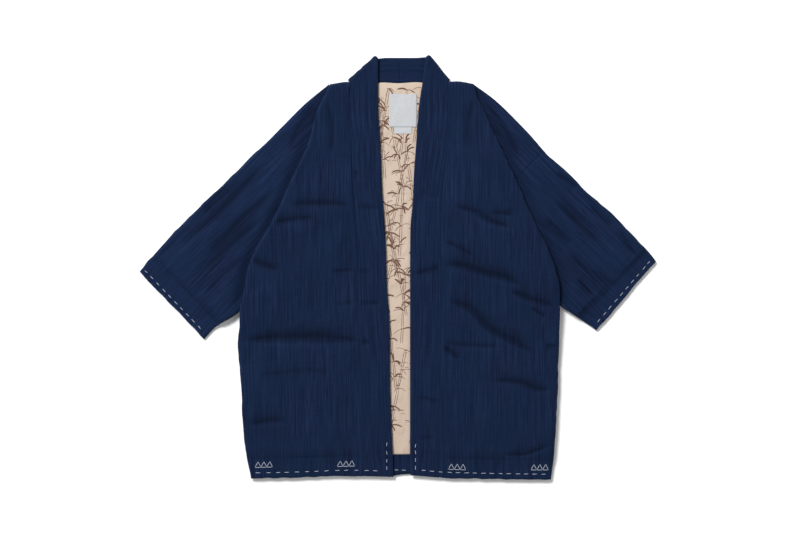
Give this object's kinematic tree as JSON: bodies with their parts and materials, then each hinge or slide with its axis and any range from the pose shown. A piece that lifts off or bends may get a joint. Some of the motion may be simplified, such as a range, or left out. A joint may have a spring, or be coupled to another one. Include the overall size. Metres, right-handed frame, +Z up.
{
  "type": "padded kimono jacket",
  "caption": "Padded kimono-style jacket in indigo cotton, laid flat with its sleeves drawn down and its open front showing a cream lining.",
  "frame": {"origin": "centre of the bounding box in plan, at the lowest point, on the surface that the jacket lies on", "axes": "+Z up, from the surface towards the viewer, and +Y from the hem towards the collar. +X is right as seen from above, towards the wearer's left sleeve"},
  "size_m": [1.006, 0.8264, 0.0306],
  "materials": {
    "indigo_cotton": "matte slubbed indigo cotton, light down filling",
    "cream_lining": "smooth, thin, faint sheen",
    "label_white": "fine woven tape, matte"
  },
  "bodies": {
    "root": {"back": "indigo_cotton", "front_left": "indigo_cotton", "front_right": "indigo_cotton", "shoulder_tuck_left": "indigo_cotton", "shoulder_tuck_right": "indigo_cotton", "sleeve_left": "indigo_cotton", "sleeve_right": "indigo_cotton", "collar_left": "indigo_cotton", "collar_right": "indigo_cotton", "hem_facing": "indigo_cotton", "lining": "cream_lining", "label": "label_white", "size_tab": "label_white"}
  },
  "joints": []
}
